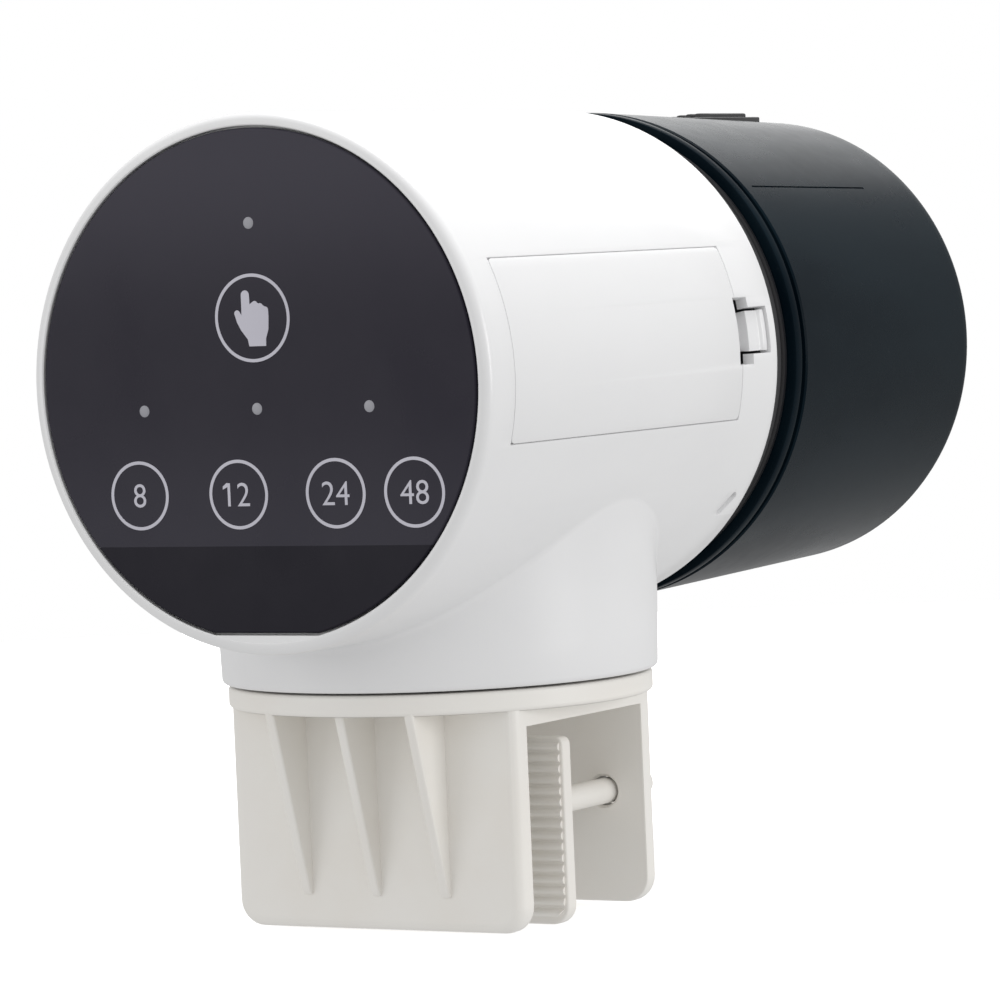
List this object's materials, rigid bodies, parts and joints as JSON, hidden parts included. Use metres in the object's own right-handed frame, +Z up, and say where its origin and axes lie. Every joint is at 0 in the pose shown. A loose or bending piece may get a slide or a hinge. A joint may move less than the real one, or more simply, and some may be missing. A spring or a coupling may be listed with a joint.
{
  "type": "automatic fish feeder",
  "caption": "Battery fish feeder: a round head with a touch panel swivels on a tank-rim clamp and turns a tinted food drum with a sliding feed gate.",
  "frame": {"origin": "on the inner face of the clamp's fixed jaw, midway across it, where it lies against the tank wall", "axes": "+Z up, along the head's swivel axis; +Y from the control panel towards the food drum, square to the tank wall; +X towards the battery door"},
  "size_m": [0.07, 0.144, 0.1091],
  "materials": {
    "white_gloss_plastic": "glossy white moulding",
    "ivory_plastic": "satin ivory moulding",
    "panel_dark": "smoked glossy touch panel with pale print",
    "tinted_drum_plastic": "polished smoke-tinted clear plastic",
    "black_plastic": "satin black moulding",
    "grey_plastic": "matt dark grey moulding",
    "gear_acetal": "natural acetal",
    "circuit_board": "green solder mask",
    "led_lens": "milky lens",
    "steel": "bright zinc or nickel plate",
    "brass": "machined brass",
    "cell_wrap": "printed foil wrap, no marks",
    "red_wire": "soft red insulation",
    "black_wire": "soft black insulation"
  },
  "bodies": {
    "clamp": {"clamp_bracket": "ivory_plastic", "clamp_nut": "brass"},
    "jaw": {"moving_jaw": "ivory_plastic", "guide_pin_left": "ivory_plastic", "guide_pin_right": "ivory_plastic"},
    "screw": {"clamp_screw": "steel", "clamp_knob": "ivory_plastic"},
    "head": {"main_housing": "white_gloss_plastic", "touch_panel": "panel_dark", "control_board": "circuit_board", "controller_chip": "black_plastic", "interval_led_1": "led_lens", "interval_led_2": "led_lens", "interval_led_3": "led_lens", "interval_led_4": "led_lens", "portion_led_1": "led_lens", "portion_led_2": "led_lens", "portion_led_3": "led_lens", "power_led": "led_lens", "touch_spring_feed": "steel", "touch_spring_set": "steel", "reed_sensor": "black_plastic", "battery_tray": "grey_plastic", "contact_bridge": "steel", "contact_positive": "steel", "contact_negative": "steel", "battery_cell_1": "cell_wrap", "battery_cell_2": "cell_wrap", "battery_spring_1": "steel", "battery_spring_2": "steel", "gearbox_plate": "grey_plastic", "rear_bulkhead": "grey_plastic", "bulkhead_screw_1": "steel", "bulkhead_screw_2": "steel", "bulkhead_screw_3": "steel", "shaft_bush": "brass", "idler_axle": "steel", "motor_can": "steel", "motor_gearhead": "brass", "swivel_bolt": "steel", "swivel_washer": "steel", "motor_lead_red": "red_wire", "motor_lead_black": "black_wire", "battery_lead_red": "red_wire", "battery_lead_black": "black_wire"},
    "door": {"battery_door": "white_gloss_plastic"},
    "drive": {"drive_shaft": "steel", "shaft_clip": "steel", "hub_plate": "black_plastic", "hub_magnet": "steel", "output_gear": "gear_acetal"},
    "idler": {"idler_gear": "gear_acetal"},
    "motor": {"motor_pinion": "gear_acetal"},
    "drum": {"food_drum": "tinted_drum_plastic"},
    "gate": {"feed_gate": "black_plastic"}
  },
  "joints": [
    {"name": "head_swivel", "type": "hinge", "parent": "clamp", "child": "head", "pos_m": [0, 0.0154, 0.06], "axis": [0, 0, 1], "range_deg": [-180, 180]},
    {"name": "jaw_slide", "type": "slide", "parent": "clamp", "child": "jaw", "axis": [0, 1, 0], "range_m": [-0.0078, 0.01]},
    {"name": "screw_turn", "type": "hinge", "parent": "jaw", "child": "screw", "pos_m": [0, 0.0515, 0.0013], "axis": [0, 1, 0], "range_deg": [-1404.1, 1800.1]},
    {"name": "door_hinge", "type": "hinge", "parent": "head", "child": "door", "pos_m": [0.03483, -0.0205, 0.06342], "axis": [0.0976, 0, -0.9952], "range_deg": [0, 70]},
    {"name": "drum_spin", "type": "hinge", "parent": "head", "child": "drive", "pos_m": [0, 0.05, 0.06], "axis": [0, 1, 0], "continuous": true},
    {"name": "idler_spin", "type": "hinge", "parent": "head", "child": "idler", "pos_m": [-0.01579, 0.042, 0.05425], "axis": [0, 1, 0], "continuous": true},
    {"name": "motor_spin", "type": "hinge", "parent": "head", "child": "motor", "pos_m": [-0.01829, 0.042, 0.06844], "axis": [0, 1, 0], "continuous": true},
    {"name": "drum_pull", "type": "slide", "parent": "drive", "child": "drum", "axis": [0, 1, 0], "range_m": [0, 0.045]},
    {"name": "gate_slide", "type": "hinge", "parent": "drum", "child": "gate", "pos_m": [0, 0.1026, 0.06], "axis": [0, 1, 0], "range_deg": [-26, 0]}
  ],
  "couplings": [
    {"joint": "screw_turn", "follows": "jaw_slide", "rad_per_m": 3141.6},
    {"joint": "idler_spin", "follows": "drum_spin", "ratio": -3.6667},
    {"joint": "motor_spin", "follows": "drum_spin", "ratio": 11}
  ]
}
